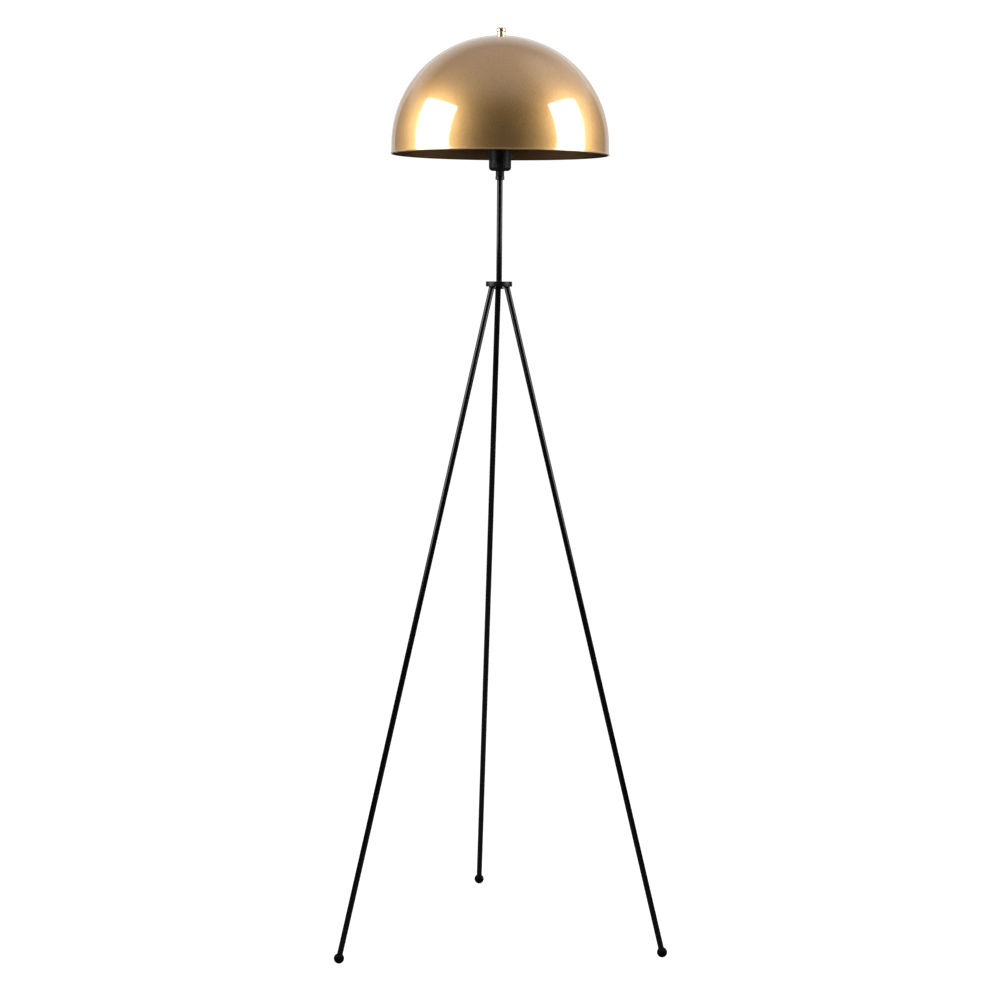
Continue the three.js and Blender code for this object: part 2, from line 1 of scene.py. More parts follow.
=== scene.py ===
"""The looks of a tripod floor lamp: a gold dome shade over a black lampholder, stem and tripod.

Everything is in metres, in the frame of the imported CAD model, with +Z up.
"""

import math

import bmesh
import bpy
import numpy as np
from mathutils import Matrix, Vector


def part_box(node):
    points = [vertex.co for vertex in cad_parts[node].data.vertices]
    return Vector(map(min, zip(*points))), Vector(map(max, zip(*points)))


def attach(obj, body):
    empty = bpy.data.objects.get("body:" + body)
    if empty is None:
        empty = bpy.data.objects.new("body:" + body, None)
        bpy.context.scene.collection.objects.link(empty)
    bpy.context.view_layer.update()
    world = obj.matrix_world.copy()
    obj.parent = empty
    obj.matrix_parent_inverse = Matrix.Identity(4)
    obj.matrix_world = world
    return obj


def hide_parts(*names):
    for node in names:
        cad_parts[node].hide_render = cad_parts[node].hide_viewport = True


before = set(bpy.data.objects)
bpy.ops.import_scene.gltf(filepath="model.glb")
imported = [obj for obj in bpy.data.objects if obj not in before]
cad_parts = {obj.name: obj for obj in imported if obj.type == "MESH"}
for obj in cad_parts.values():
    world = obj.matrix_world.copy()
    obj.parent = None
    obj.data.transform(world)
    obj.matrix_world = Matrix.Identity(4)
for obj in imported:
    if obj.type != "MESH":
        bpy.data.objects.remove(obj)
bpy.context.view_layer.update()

MM = 0.001
MICRON = 0.001 * MM
SNUG = 0.15 * MM  # the gap between a tube and the hole that holds it
LOOSE = 0.2 * MM  # the gap in a hole that only clears what is in it
TUBE_WALL, BULB_WALL = 1 * MM, 1.1 * MM
MERGE = 1e-7  # points closer than this become one
ON_AXIS = 1e-9  # a point of an outline closer to the axis than this lies on it
CREASE = math.radians(32)  # an edge stays sharp where the surface turns by more than this
BACKWARDS = Vector((0, 1, 0))  # away from the lamp's front
LEG_PLACES = ("front_left", "front_right", "rear")


# ---- where things are --------------------------------------------------------------------------
def size_of(node):
    """(radius, lowest height, highest height) of a CAD node that is round about a vertical axis."""
    low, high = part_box(node)
    return (high.x - low.x) / 2, low.z, high.z


def centre_of(node):
    """The place on the floor under a CAD node's middle."""
    low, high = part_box(node)
    return Vector(((low.x + high.x) / 2, (low.y + high.y) / 2, 0))


def leg_line(place):
    """(foot, top, radius) of a leg's tube: the two ends of its axis, and half its width square to it."""
    points = np.array([vertex.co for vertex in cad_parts[f"leg_{place}"].data.vertices], float)
    middle = points.mean(0)
    along = np.linalg.svd(points - middle, full_matrices=False)[2][0]
    if along[2] < 0:
        along = -along
    reach = (points - middle) @ along
    radius = np.linalg.norm(points - middle - np.outer(reach, along), axis=1).max()
    return Vector(middle + along * reach.min()), Vector(middle + along * reach.max()), radius


STEM = centre_of("stem_tube")  # the stem's axis, at the floor
STEM_RADIUS = size_of("stem_tube")[0]
STEM_HOLE = STEM_RADIUS + SNUG
HOLDER_RADIUS = size_of("holder_cap")[0]
HOLDER_HOLE = HOLDER_RADIUS + LOOSE
FINIAL_HOLE = 3.15 * MM  # clears the harp's screw


# ---- outlines and meshes -----------------------------------------------------------------------
def spaced(first, last, steps):
    """Evenly spaced numbers from first to last, both of them included."""
    return [first + (last - first) * i / steps for i in range(steps + 1)]


def arc(centre_r, centre_z, radius_r, radius_z, start, end, steps):
    """Points of an elliptical arc, between two angles in degrees."""
    angles = [math.radians(degrees) for degrees in spaced(start, end, steps)]
    return [(centre_r + radius_r * math.cos(a), centre_z + radius_z * math.sin(a)) for a in angles]


def rounded(outline, fillet, steps=4):
    """A closed outline with its corners rounded. A point's own fillet comes third, if it has one.

    A corner on the axis, or one that hardly turns, stays sharp.
    """
    least_turn, most_of_edge = 0.05, 0.45  # radians, and how much of an edge one fillet may take
    result = []
    for i, point in enumerate(outline):
        before = Vector(outline[i - 1][:2])
        corner = Vector(point[:2])
        after = Vector(outline[(i + 1) % len(outline)][:2])
        radius = point[2] if len(point) > 2 else fillet
        into, out = corner - before, after - corner
        turn = abs(into.angle_signed(out)) if into.length and out.length else 0
        if radius <= 0 or turn < least_turn or corner.x < ON_AXIS:
            result.append(tuple(corner))
            continue
        cut = min(radius * math.tan(turn / 2), most_of_edge * into.length, most_of_edge * out.length)
        start, end = corner - into.normalized() * cut, corner + out.normalized() * cut
        for t in spaced(0, 1, steps):
            result.append(tuple(start.lerp(corner, t).lerp(corner.lerp(end, t), t)))
    return result


def ring_outline(bore, radius, low, high, fillet, steps=4):
    """The section of a tube or a washer, with all its edges rounded."""
    return rounded([(bore, low), (radius, low), (radius, high), (bore, high)], fillet, steps)


def thread_wave(z, angle, pitch):
    """Swings between 0 and 1 from turn to turn of a right-hand thread."""
    return 0.5 + 0.5 * math.cos(2 * math.pi * z / pitch - angle)


def rib_wave(angle, count):
    """0 on an upright rib and 1 in the groove beside it."""
    return 0.5 - 0.5 * math.cos(count * angle)


def fade(z, low, high, run):
    """1 inside a span of heights, falling to 0 at both its ends over the given run."""
    return min(1, (high - z) / run, (z - low) / run)


def smooth_faces(mesh):
    mesh.polygons.foreach_set("use_smooth", [True] * len(mesh.polygons))
    mesh.set_sharp_from_angle(angle=CREASE)
    mesh.update()


def mesh_of(vertices, faces):
    mesh = bpy.data.meshes.new("mesh")
    mesh.from_pydata([tuple(v) for v in vertices], [], faces)
    edit = bmesh.new()
    edit.from_mesh(mesh)
    bmesh.ops.remove_doubles(edit, verts=edit.verts, dist=MERGE)
    bmesh.ops.dissolve_degenerate(edit, dist=MERGE, edges=edit.edges)
    bmesh.ops.recalc_face_normals(edit, faces=edit.faces)
    edit.to_mesh(mesh)
    edit.free()
    smooth_faces(mesh)
    return mesh


def turned_mesh(outline, centre=STEM, segments=96, reshape=None):
    """A solid of revolution about a vertical axis. reshape(r, z, angle) may move each point."""
    vertices, faces = [], []
    count = len(outline)
    for i in range(segments):
        angle = 2 * math.pi * i / segments
        for r, z in outline:
            if reshape:
                r, z = reshape(r, z, angle)
            vertices.append(centre + Vector((r * math.cos(angle), r * math.sin(angle), z)))
    for i in range(segments):
        j = (i + 1) % segments
        for k in range(count):
            m = (k + 1) % count
            if outline[k][0] < ON_AXIS and outline[m][0] < ON_AXIS:
                continue
            faces.append((i * count + k, j * count + k, j * count + m, i * count + m))
    return mesh_of(vertices, faces)


def rod_mesh(radius, length, segments):
    """A plain rod standing on the origin, to cut a hole with."""
    return turned_mesh([(0, 0), (radius, 0), (radius, length), (0, length)], Vector(), segments)


def swept_mesh(path, radius, sides):
    """A round wire along a path in an upright plane that faces the front."""
    vertices, faces = [], []
    for i, point in enumerate(path):
        ahead = path[min(i + 1, len(path) - 1)] - path[max(i - 1, 0)]
        out = ahead.normalized().cross(BACKWARDS)
        for k in range(sides):
            angle = 2 * math.pi * k / sides
            vertices.append(point + radius * (math.cos(angle) * out + math.sin(angle) * BACKWARDS))
    for i in range(len(path) - 1):
        for k in range(sides):
            m = (k + 1) % sides
            faces.append((i * sides + k, i * sides + m, (i + 1) * sides + m, (i + 1) * sides + k))
    last = (len(path) - 1) * sides
    faces.append(tuple(range(sides)))
    faces.append(tuple(last + k for k in range(sides)))
    return mesh_of(vertices, faces)


def smooth_path(points, steps):
    """A Catmull-Rom curve through the points, its bends then eased a little, as a wire takes them."""
    easing_passes = 40
    path = []
    ends = [2 * points[0] - points[1]] + points + [2 * points[-1] - points[-2]]
    for a, b, c, d in zip(ends, ends[1:], ends[2:], ends[3:]):
        for i in range(steps):
            t = i / steps
            bend = (2 * a - 5 * b + 4 * c - d) * t**2 + (3 * b - a - 3 * c + d) * t**3
            path.append(0.5 * (2 * b + (c - a) * t + bend))
    path.append(points[-1])
    for _ in range(easing_passes):
        eased = [(a + 2 * b + c) / 4 for a, b, c in zip(path, path[1:], path[2:])]
        path = [path[0], *eased, path[-1]]
    return path


def leaned(mesh, start, end):
    """Moves a mesh that stands on the origin along +Z so that it lies from start towards end."""
    turn = (end - start).to_track_quat("Z", "Y").to_matrix().to_4x4()
    mesh.transform(Matrix.Translation(start) @ turn)
    return mesh


def cut_by(mesh, cutters):
    """The mesh with the cutters' solids taken out of it."""
    body = bpy.data.objects.new("body", mesh)
    bpy.context.scene.collection.objects.link(body)
    tools = []
    for cutter in cutters:
        tool = bpy.data.objects.new("tool", cutter)
        bpy.context.scene.collection.objects.link(tool)
        modifier = body.modifiers.new("cut", "BOOLEAN")
        modifier.operation = "DIFFERENCE"
        modifier.solver = "EXACT"
        modifier.object = tool
        tools.append(tool)
    evaluated = body.evaluated_get(bpy.context.evaluated_depsgraph_get())
    result = bpy.data.meshes.new_from_object(evaluated)
    for obj in [body, *tools]:
        bpy.data.objects.remove(obj)
    smooth_faces(result)
    return result


def piece(name, mesh, body, material, node):
    """Puts a mesh in the scene, riding on a CAD body in the place of a CAD node."""
    mesh.name = name
    obj = bpy.data.objects.new(name, mesh)
    bpy.context.scene.collection.objects.link(obj)
    mesh.materials.clear()
    mesh.materials.append(material)
    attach(obj, body)
    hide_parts(node)


# ---- materials ---------------------------------------------------------------------------------
WARM = (1, 0.92, 0.88, 1)  # the tint of the black parts' gloss


class NodeTree:
    """The nodes of a new material or world, with short ways to add to them."""

    def __init__(self, owner):
        owner.use_nodes = True
        self.tree = owner.node_tree

    def node(self, kind, **values):
        """Adds a node. A value sets the node's own property, or else its input of that name."""
        made = self.tree.nodes.new(kind)
        for name, value in values.items():
            if hasattr(made, name):
                setattr(made, name, value)
            else:
                made.inputs[name.replace("_", " ")].default_value = value
        return made

    def link(self, output, target):
        self.tree.links.new(output, target)

    def map_range(self, value, start, end, low, high, shape):
        """Takes start to low and end to high, and stays level beyond them."""
        made = self.node("ShaderNodeMapRange", interpolation_type=shape)
        for socket, number in zip(("From Min", "From Max", "To Min", "To Max"), (start, end, low, high)):
            made.inputs[socket].default_value = number
        self.link(value, made.inputs["Value"])
        return made.outputs["Result"]


class Finish(NodeTree):
    """A procedural material under construction: one Principled shader and the nodes that feed it."""

    def __init__(self, name, **values):
        self.material = bpy.data.materials.new(name)
        super().__init__(self.material)
        self.shader = self.tree.nodes["Principled BSDF"]
        self.place = self.node("ShaderNodeTexCoord").outputs["Object"]
        for socket, value in values.items():
            self.shader.inputs[socket.replace("_", " ")].default_value = value

    def noise(self, scale, stretch=(1, 1, 1), detail=3):
        """Noise from 0 to 1, its scale in features per metre."""
        mapping = self.node("ShaderNodeMapping", Scale=stretch)
        self.link(self.place, mapping.inputs["Vector"])
        noise = self.node("ShaderNodeTexNoise", Scale=scale, Detail=detail, Roughness=0.55)
        self.link(mapping.outputs["Vector"], noise.inputs["Vector"])
        return noise.outputs["Fac"]

    def spread(self, noise, low, high):
        """Maps a noise's usual span, from 0.3 to 0.7, onto a range."""
        return self.map_range(noise, 0.3, 0.7, low, high, "LINEAR")

    def blend(self, factor, first, second):
        """A colour between two, each a colour or another node's output."""
        mix = self.node("ShaderNodeMix", data_type="RGBA")
        self.link(factor, mix.inputs["Factor"])
        for socket, colour in ((mix.inputs[6], first), (mix.inputs[7], second)):
            if isinstance(colour, tuple):
                socket.default_value = (*colour, 1)
            else:
                self.link(colour, socket)
        return mix.outputs[2]

    def colour(self, output):
        self.link(output, self.shader.inputs["Base Color"])

    def roughness(self, output):
        self.link(output, self.shader.inputs["Roughness"])

    def bump(self, height, depth, normal=None, socket="Normal"):
        """Adds relief. depth is the height in metres of a full step from 0 to 1."""
        bump = self.node("ShaderNodeBump", Strength=1, Distance=depth)
        self.link(height, bump.inputs["Height"])
        if normal:
            self.link(normal, bump.inputs["Normal"])
        if socket:
            self.link(bump.outputs["Normal"], self.shader.inputs[socket])
        return bump.outputs["Normal"]


def gold_lacquer():
    """Fine metallic gold flake under a clear gloss coat."""
    dark_flake, light_flake = (0.48, 0.269, 0.100), (0.65, 0.370, 0.142)
    mottled, clouded = (0.405, 0.220, 0.078), (0.52, 0.29, 0.115)
    finish = Finish("gold_lacquer", Metallic=1.0, Coat_Weight=1.0, Coat_Roughness=0.09, Coat_IOR=1.9)
    flake = finish.noise(2600, detail=2)
    mottle = finish.noise(520, detail=2)
    clouding = finish.noise(14, detail=4)
    spun = finish.noise(900, stretch=(0.02, 0.02, 1))
    tone = finish.blend(finish.spread(flake, 0, 1), dark_flake, light_flake)
    tone = finish.blend(finish.spread(mottle, 0, 1), tone, mottled)
    finish.colour(finish.blend(finish.spread(clouding, 0, 0.35), tone, clouded))
    finish.roughness(finish.spread(flake, 0.36, 0.63))
    brushed = finish.bump(spun, 20 * MICRON, socket=None)
    finish.bump(flake, 30 * MICRON, normal=brushed)
    peel = finish.noise(260, detail=2)
    finish.bump(peel, 6 * MICRON, socket="Coat Normal")
    return finish.material


def gold_inside_painted_shade():
    """The shade's inside: the outer gold painted much darker as painted shade, and without the gloss coat.
    """
    dark, light = (0.150, 0.076, 0.031), (0.210, 0.110, 0.048)
    finish = Finish("gold_inside_painted_shade", Metallic=0.85)
    flake = finish.noise(1800)
    streaks = finish.noise(500, stretch=(0.03, 0.03, 1))
    finish.colour(finish.blend(finish.spread(flake, 0, 1), dark, light))
    finish.roughness(finish.spread(streaks, 0.60, 0.72))
    finish.bump(flake, 40 * MICRON)
    return finish.material


def black_powder_coat(name, low, high, pebble_depth):
    """Black powder coat over steel, with a fine pebbled skin. low and high are its roughness."""
    dark, light = (0.002, 0.002, 0.0022), (0.004, 0.004, 0.0042)
    finish = Finish(name, Specular_IOR_Level=0.25, Specular_Tint=WARM)
    pebble = finish.noise(1500, detail=2)
    drift = finish.noise(30, detail=4)
    finish.colour(finish.blend(finish.spread(drift, 0, 1), dark, light))
    finish.roughness(finish.spread(drift, low, high))
    finish.bump(pebble, pebble_depth)
    return finish.material


def black_plastic(name, low, high, tone, gloss):
    """Moulded black plastic with a faint spark-eroded grain. low and high are its roughness."""
    finish = Finish(name, Specular_IOR_Level=gloss, Specular_Tint=WARM)
    grain = finish.noise(2400)
    drift = finish.noise(60)
    lighter = (tone * 1.5, tone * 1.5, tone * 1.55)
    finish.colour(finish.blend(finish.spread(drift, 0, 1), (tone, tone, tone), lighter))
    finish.roughness(finish.spread(grain, low, high))
    finish.bump(grain, 6 * MICRON)
    return finish.material


def metal(name, dark, light, low, high, stretch=(1, 1, 1)):
    """A bare metal with fine tool marks. low and high are its roughness."""
    finish = Finish(name, Metallic=1.0)
    marks = finish.noise(1500, stretch=stretch)
    stain = finish.noise(120, detail=4)
    finish.colour(finish.blend(finish.spread(stain, 0, 1), dark, light))
    finish.roughness(finish.spread(marks, low, high))
    finish.bump(marks, 8 * MICRON)
    return finish.material


def pale(name, dark, light, low, high):
    """A pale moulded or fired surface, faintly uneven. low and high are its roughness."""
    finish = Finish(name)
    drift = finish.noise(90, detail=4)
    grain = finish.noise(1800, detail=2)
    finish.colour(finish.blend(finish.spread(drift, 0, 1), dark, light))
    finish.roughness(finish.spread(grain, low, high))
    finish.bump(grain, 10 * MICRON)
    return finish.material


GOLD = gold_lacquer()
# the shade's inside gold is painted darker than the outside's: painted shade
GOLD_INSIDE_PAINTED_SHADE = gold_inside_painted_shade()
BLACK = black_powder_coat("black_powder_coat", 0.32, 0.40, 6 * MICRON)
TUBE_BLACK = black_powder_coat("black_tube_coat", 0.16, 0.22, 2 * MICRON)
PLASTIC = black_plastic("black_plastic", 0.42, 0.52, tone=0.004, gloss=0.2)
FOOT_PLASTIC = black_plastic("foot_plastic", 0.5, 0.6, tone=0.0015, gloss=0.05)
BRASS = metal("polished_brass", (0.70, 0.56, 0.34), (0.80, 0.66, 0.44), 0.22, 0.32, stretch=(0.05, 0.05, 1))
PLAIN_BRASS = metal("plain_brass", (0.60, 0.40, 0.15), (0.72, 0.50, 0.20), 0.25, 0.4)
ZINC = metal("zinc_plated_steel", (0.50, 0.51, 0.53), (0.62, 0.62, 0.62), 0.25, 0.4)
CAP_METAL = metal("bulb_metal", (0.66, 0.66, 0.65), (0.78, 0.78, 0.77), 0.2, 0.32, stretch=(0.1, 0.1, 1))
CERAMIC = pale("white_ceramic", (0.74, 0.72, 0.66), (0.82, 0.80, 0.75), 0.18, 0.3)
NYLON = pale("nylon", (0.62, 0.58, 0.50), (0.70, 0.66, 0.58), 0.35, 0.5)
WHITE_PLASTIC = pale("white_plastic", (0.72, 0.72, 0.70), (0.78, 0.78, 0.76), 0.3, 0.42)
OPAL = pale("opal_glass", (0.80, 0.79, 0.75), (0.86, 0.85, 0.82), 0.22, 0.34)


# ---- tripod ------------------------------------------------------------------------------------
def make_hub_plate():
    """A round plate with a slanted pocket in its underside for each leg's end."""
    radius, low, high = size_of("hub_plate")
    fillet, pocket_length = 0.8 * MM, 20 * MM
    pockets = []
    for place in LEG_PLACES:
        foot, top, tube = leg_line(place)
        along = (top - foot).normalized()
        start, end = top + along * (LOOSE - pocket_length), top + along * LOOSE
        pockets.append(leaned(rod_mesh(tube + LOOSE, pocket_length, 64), start, end))
    outline = [(STEM_HOLE, low, 0), (radius, low), (radius, high), (STEM_HOLE, high, 0)]
    mesh = cut_by(turned_mesh(rounded(outline, fillet, 6), segments=128), pockets)
    piece("hub_disc", mesh, "stand", BLACK, "hub_plate")


def make_hub_washer():
    radius, low, high = size_of("hub_washer")
    mesh = turned_mesh(ring_outline(STEM_HOLE, radius, low, high, 0.2 * MM))
    piece("hub_flat_washer", mesh, "stand", BLACK, "hub_washer")


def make_hub_nut():
    """A low hexagon nut whose lower corners are chamfered as if by a lathe."""
    low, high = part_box("hub_nut")
    flat, corner = (high.y - low.y) / 2, (high.x - low.x) / 2
    chamfer, fillet = 0.54 * MM, 0.15 * MM
    inside = STEM_HOLE * 1.05

    def hexagonal(r, z, angle):
        if r < inside:
            return r, z
        from_flat = angle % (math.pi / 3) - math.pi / 6
        return min(r, flat / math.cos(from_flat)), z

    outline = [
        (STEM_HOLE, low.z, 0),
        (flat, low.z),
        (corner, low.z + chamfer),
        (corner, high.z),
        (STEM_HOLE, high.z, 0),
    ]
    mesh = turned_mesh(rounded(outline, fillet, 2), segments=144, reshape=hexagonal)
    piece("hub_hexagon_nut", mesh, "stand", BLACK, "hub_nut")


def make_leg(place):
    foot, top, radius = leg_line(place)
    outline = ring_outline(radius - TUBE_WALL, radius, 0, (top - foot).length, 0.25 * MM, 3)
    mesh = leaned(turned_mesh(outline, Vector(), 48), foot, top)
    piece(f"leg_tube_{place}", mesh, "stand", TUBE_BLACK, f"leg_{place}")


def make_foot(place):
    """A ball with a flat to stand on, a fine parting line, and a socket for the leg's end."""
    radius, floor, _ = size_of(f"foot_{place}")
    flat, seam, seam_angle = 2.4 * MM, 0.08 * MM, 1.2
    drop = math.sqrt(radius**2 - flat**2)  # from the ball's middle to its flat
    middle, flat_angle = floor + drop, math.degrees(math.asin(drop / radius))
    outline = [(0, floor)] + arc(0, middle, radius, radius, -flat_angle, -seam_angle, 22)
    outline += [(radius - seam, middle)] + arc(0, middle, radius, radius, seam_angle, 90, 24)
    foot, top, tube = leg_line(place)
    socket = leaned(rod_mesh(tube + SNUG, 30 * MM, 64), foot, top)
    mesh = cut_by(turned_mesh(outline, centre_of(f"foot_{place}"), 72), [socket])
    piece(f"foot_ball_{place}", mesh, "stand", FOOT_PLASTIC, f"foot_{place}")


# ---- stem and lampholder -----------------------------------------------------------------------
def make_stem():
    radius, low, high = size_of("stem_tube")
    mesh = turned_mesh(ring_outline(radius - TUBE_WALL, radius, low, high, 0.4 * MM, 3), segments=64)
    piece("stem", mesh, "stand", TUBE_BLACK, "stem_tube")


def make_collar():
    """A collar on the stem, rounder at its lower edge, with a hole in front for its grub screw."""
    radius, low, high = size_of("stem_collar")
    fillet, lower_fillet = 0.3 * MM, 2.4 * MM
    screw_low, screw_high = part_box("collar_grub_screw")
    screw_radius = (screw_high.x - screw_low.x) / 2
    hole = rod_mesh(screw_radius + 0.1 * MM, 9 * MM, 32)
    in_front = Vector((STEM.x, STEM.y - radius - 2 * MM, (screw_low.z + screw_high.z) / 2))
    leaned(hole, in_front, in_front + BACKWARDS)
    outline = [(STEM_HOLE, low, 0), (radius, low, lower_fillet), (radius, high), (STEM_HOLE, high, 0)]
    mesh = cut_by(turned_mesh(rounded(outline, fillet, 6)), [hole])
    piece("stem_stop_collar", mesh, "stand", BLACK, "stem_collar")


def make_grub_screw():
    """A short screw with a hexagon socket, pressing backwards on the stem through the collar."""
    low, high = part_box("collar_grub_screw")
    radius, length = (high.x - low.x) / 2, high.y - low.y
    socket, depth, fillet = radius * 0.55, length * 0.6, 0.15 * MM
    hexagon = rod_mesh(socket, depth, 6)
    hexagon.transform(Matrix.Translation((0, 0, -0.1 * MM)))  # clears the screw's end
    outline = rounded([(0, 0), (radius, 0), (radius, length), (0, length)], fillet)
    mesh = cut_by(turned_mesh(outline, Vector(), 32), [hexagon])
    start = Vector((STEM.x, low.y, (low.z + high.z) / 2))
    leaned(mesh, start, start + BACKWARDS)
    piece("collar_screw", mesh, "stand", BLACK, "collar_grub_screw")


def make_cord_bush():
    """A flanged bush in the stem's lower end, for the flex to leave through."""
    radius, low, high = size_of("cord_bush")
    hole, body, flange = 3.3 * MM, STEM_RADIUS - 1.3 * MM, low + 1.1 * MM
    fillet, mouth_fillet = 0.1 * MM, 0.5 * MM
    outline = [
        (hole, low, mouth_fillet),
        (radius, low, mouth_fillet),
        (radius, flange),
        (body, flange, 0),
        (body, high),
        (hole, high),
    ]
    mesh = turned_mesh(rounded(outline, fillet), segments=64)
    piece("cord_outlet_bush", mesh, "stand", PLASTIC, "cord_bush")


def make_holder_cap():
    """The lampholder's lower half: a cup on a short neck, ribbed for grip round its side."""
    radius, low, high = size_of("holder_cap")
    neck, floor = 7.4 * MM, low + 8.6 * MM
    neck_fillet, root_fillet, edge_bevel = 0.4 * MM, 0.3 * MM, 0.3 * MM
    bore, wall = STEM_RADIUS + LOOSE, 2 * MM
    corner, inner_corner = 6 * MM, 4 * MM
    ribs, rib_depth, rib_run = 36, 0.3 * MM, 1.5 * MM
    rib_low, rib_high = floor + 1.2 * MM, high - 5 * MM
    ribbed_from = radius - 1.9 * MM

    def ribbed(r, z, angle):
        if r < ribbed_from or not rib_low < z < rib_high:
            return r, z
        return r - rib_depth * fade(z, rib_low, rib_high, rib_run) * rib_wave(angle, ribs), z

    outline = rounded([(bore, low), (neck, low, neck_fillet), (neck, floor - root_fillet)], 0)
    outline += arc(neck + root_fillet, floor - root_fillet, root_fillet, root_fillet, 180, 90, 3)
    outline += arc(radius - corner, floor + corner, corner, corner, -90, 0, 12)
    outline += [(radius, z) for z in spaced(floor + corner, rib_high, 8)]
    outline += [(radius, high - edge_bevel), (radius - edge_bevel, high), (radius - wall, high)]
    middle_r, middle_z = radius - wall - inner_corner, floor + wall + inner_corner
    outline += arc(middle_r, middle_z, inner_corner, inner_corner, 0, -90, 6)
    outline += [(bore, floor + wall)]
    mesh = turned_mesh(outline, segments=288, reshape=ribbed)
    piece("lampholder_cap", mesh, "stand", PLASTIC, "holder_cap")


def make_holder_barrel():
    """The upper half: a sleeve with a flange, threaded outside above it for the shade ring."""
    radius, low, high = size_of("holder_barrel")
    sleeve, bore, lip = HOLDER_RADIUS, 16.3 * MM, 14.6 * MM
    flange_low, flange_high, lip_low = low + 16.2 * MM, low + 21.4 * MM, high - 4 * MM
    bevel, fine, middling, full = 0.3 * MM, 0.1 * MM, 0.3 * MM, 0.6 * MM
    pitch, depth = 2.2 * MM, 0.55 * MM
    thread_low, thread_high = flange_high + 0.4 * MM, high - 1.2 * MM

    def threaded(r, z, angle):
        if abs(r - sleeve) > 0.001 * MM or not thread_low < z < thread_high:
            return r, z
        groove = min(1, max(0, 1.4 * thread_wave(z, angle, pitch) - 0.2))  # flat crests and roots
        return r - depth * fade(z, thread_low, thread_high, pitch) * groove, z

    flange = [
        (sleeve, low + 1 * MM),
        (sleeve, flange_low, middling),
        (radius, flange_low, full),
        (radius, flange_high, full),
        (sleeve, flange_high, fine),
        (sleeve, flange_high + 0.3 * MM),
    ]
    mouth = [
        (sleeve, high - 1 * MM),
        (sleeve - 0.2 * MM, high, 0.5 * MM),
        (lip, high, 0.5 * MM),
        (lip, lip_low, 0.2 * MM),
        (bore, lip_low),
    ]
    outline = [(bore, low), (sleeve - bevel, low), (sleeve, low + bevel)] + rounded(flange, 0)
    outline += [(sleeve, z) for z in spaced(thread_low, thread_high, 56)] + rounded(mouth, 0)
    mesh = turned_mesh(outline, segments=144, reshape=threaded)
    piece("lampholder_barrel", mesh, "stand", PLASTIC, "holder_barrel")


# ---- harp --------------------------------------------------------------------------------------
def make_shade_ring():
    """The ring nut that clamps the harp, knurled with upright ribs."""
    radius, low, high = size_of("shade_ring")
    ribs, rib_depth, knurled_from = 40, 0.45 * MM, radius - 0.7 * MM

    def knurled(r, z, angle):
        if r < knurled_from:
            return r, z
        return r - rib_depth * rib_wave(angle, ribs) ** 2, z

    outline = ring_outline(HOLDER_HOLE, radius, low, high, 0.5 * MM)
    mesh = turned_mesh(outline, segments=320, reshape=knurled)
    piece("harp_clamp_ring", mesh, "stand", PLASTIC, "shade_ring")


def make_harp_base():
    radius, low, high = size_of("harp_ring")
    mesh = turned_mesh(ring_outline(HOLDER_HOLE, radius, low, high, 0.4 * MM))
    piece("harp_base", mesh, "stand", BLACK, "harp_ring")


def make_harp_arm(side, node, name):
    """A wire that bows out round the bulb, from the harp's base to its top boss."""
    wire = 2 * MM
    base_radius, _, base_top = size_of("harp_ring")
    low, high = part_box(node)
    inner = min(abs(low.x), abs(high.x))
    widest = max(abs(low.x), abs(high.x)) - wire
    foot, top = base_radius - 2.3 * MM, high.z - wire
    belly = base_top + (top - base_top) * 0.567  # the height where the bow is widest
    bends = [
        (foot, low.z),
        (foot, base_top + 9 * MM),
        (foot + (widest - foot) * 0.45, base_top + 34 * MM),
        (widest - 4 * MM, belly - 42 * MM),
        (widest, belly),
        (widest - 9 * MM, belly + 38 * MM),
        (foot + 8 * MM, top - 10 * MM),
        (inner + 9 * MM, top),
        (inner, top),
    ]
    path = smooth_path([Vector((STEM.x + side * x, STEM.y, z)) for x, z in bends], 12)
    piece(name, swept_mesh(path, wire, 20), "stand", BLACK, node)


def make_harp_stud():
    """The harp's top boss and the screw that the shade hangs on, with its thread cut."""
    radius, low, high = size_of("harp_stud")
    screw, point = 2.85 * MM, 2.25 * MM
    shoulder = size_of("shade")[2] - 1.5 * MM
    lower_fillet, upper_fillet = 1 * MM, 0.6 * MM
    pitch, depth = 1 * MM, 0.45 * MM
    samples, step = 85, (high - 0.5 * MM - shoulder) / 88  # along the thread

    def threaded(r, z, angle):
        if abs(r - screw) > 0.001 * MM or z < shoulder + pitch:
            return r, z
        return r - depth * thread_wave(z, angle, pitch), z

    boss = [(0, low), (radius, low, lower_fillet), (radius, shoulder, upper_fillet), (screw, shoulder)]
    outline = rounded(boss, 0)
    outline += [(screw, shoulder + 0.1 * MM + step * i) for i in range(samples)]
    outline += [(point, high), (0, high)]
    mesh = turned_mesh(outline, segments=48, reshape=threaded)
    piece("harp_boss", mesh, "stand", BLACK, "harp_stud")


